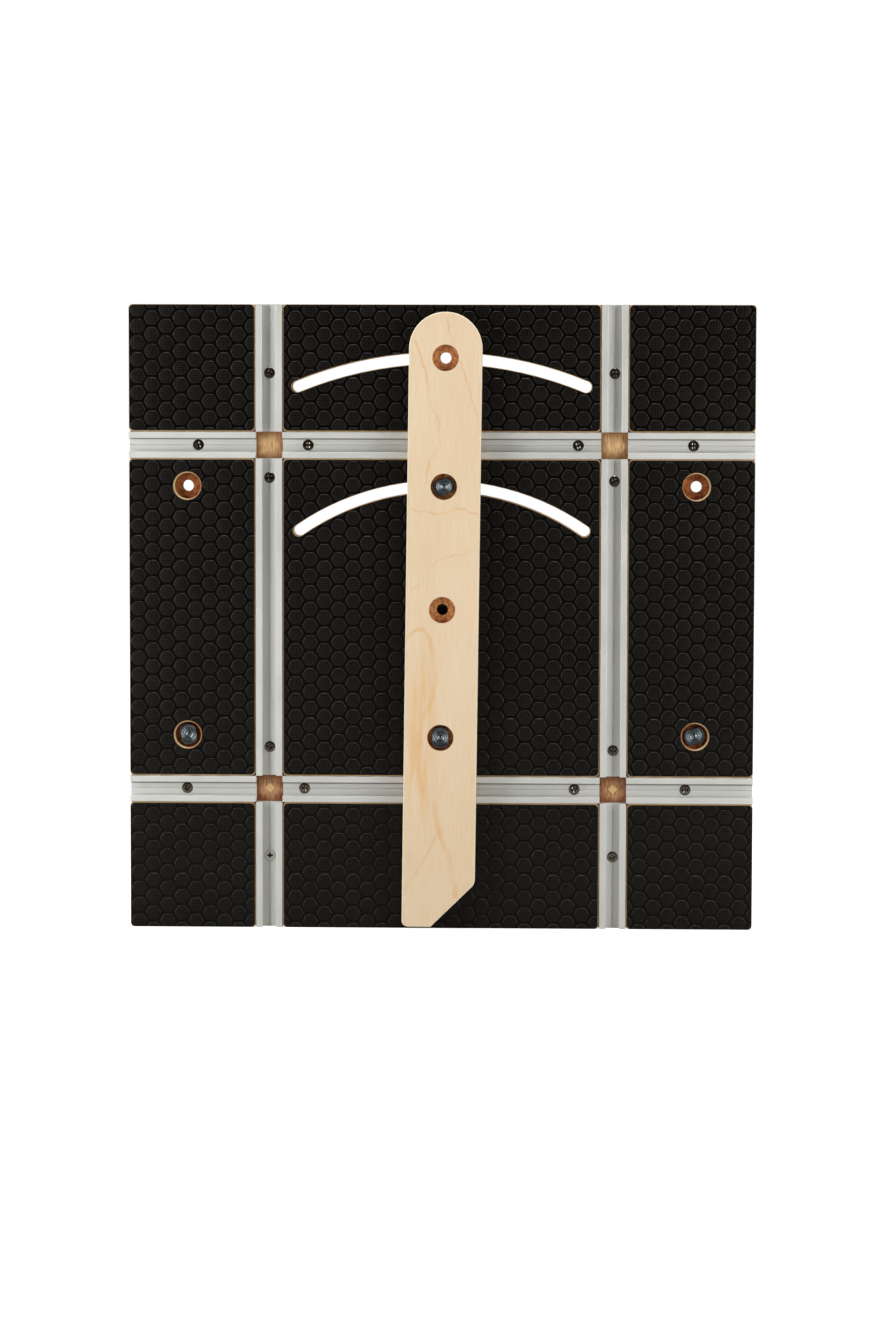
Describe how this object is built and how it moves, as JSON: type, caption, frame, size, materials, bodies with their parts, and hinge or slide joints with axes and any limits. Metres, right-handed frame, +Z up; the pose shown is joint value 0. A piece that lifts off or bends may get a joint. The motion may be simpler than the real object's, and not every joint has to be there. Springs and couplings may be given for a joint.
{
  "type": "slotted jig panel with pivoting arm",
  "caption": "Square plywood panel with hexagon anti-slip film, sunk aluminium channels and arc slots, and a plywood arm that pivots on a bolt and clamps through an arc slot.",
  "frame": {"origin": "on the arm's pivot axis at the panel's back face, which is also midway between the two lower fixing bolts", "axes": "+X to the panel's right as seen from its front, +Y out of its back along the bolts, +Z up; the front faces -Y"},
  "size_m": [0.5, 0.0622, 0.5],
  "materials": {
    "hexagon_film": "phenolic film with a raised hexagon pattern, semi-matte",
    "back_film": "smooth phenolic film, satin",
    "birch_core": "cut birch plywood, unfinished",
    "birch_arm": "sanded birch plywood, unfinished",
    "channel_aluminium": "extruded and natural anodised, satin",
    "zinc_bolt": "turned steel, dark zinc plated",
    "zinc_washer": "bright zinc plated",
    "black_zinc_screw": "black zinc plated",
    "blue_nylon": "moulded nylon",
    "knob_thermoset": "moulded black thermoset",
    "insert_brass": "turned brass"
  },
  "bodies": {
    "panel": {"panel_core": "birch_core", "front_film_top_left": "hexagon_film", "front_film_top_middle": "hexagon_film", "front_film_top_right": "hexagon_film", "front_film_centre_left": "hexagon_film", "front_film_centre_middle": "hexagon_film", "front_film_centre_right": "hexagon_film", "front_film_bottom_left": "hexagon_film", "front_film_bottom_middle": "hexagon_film", "front_film_bottom_right": "hexagon_film", "back_film": "back_film", "track_left_top": "channel_aluminium", "track_left_centre": "channel_aluminium", "track_left_bottom": "channel_aluminium", "track_right_top": "channel_aluminium", "track_right_centre": "channel_aluminium", "track_right_bottom": "channel_aluminium", "track_upper_left": "channel_aluminium", "track_upper_middle": "channel_aluminium", "track_upper_right": "channel_aluminium", "track_lower_left": "channel_aluminium", "track_lower_middle": "channel_aluminium", "track_lower_right": "channel_aluminium", "screws_left_channel": "black_zinc_screw", "screws_right_channel": "black_zinc_screw", "screws_upper_channel": "black_zinc_screw", "screws_lower_channel": "black_zinc_screw", "fixing_bolts": "zinc_bolt", "pivot_bolt": "zinc_bolt", "pivot_washer": "zinc_washer", "pivot_nut": "zinc_washer", "nut_nylon_ring": "blue_nylon"},
    "swing_arm": {"arm": "birch_arm", "guide_bolt": "zinc_bolt", "guide_washer": "zinc_washer"},
    "clamp_knob": {"knob": "knob_thermoset", "knob_insert": "insert_brass"}
  },
  "joints": [
    {"name": "arm_pivot", "type": "hinge", "parent": "panel", "child": "swing_arm", "pos_m": [0, 0, 0], "axis": [0, 1, 0], "range_deg": [-35.45, 34.11]},
    {"name": "knob_turn", "type": "hinge", "parent": "swing_arm", "child": "clamp_knob", "pos_m": [0.00234, 0.014, 0.19999], "axis": [0, 1, 0], "continuous": true}
  ]
}
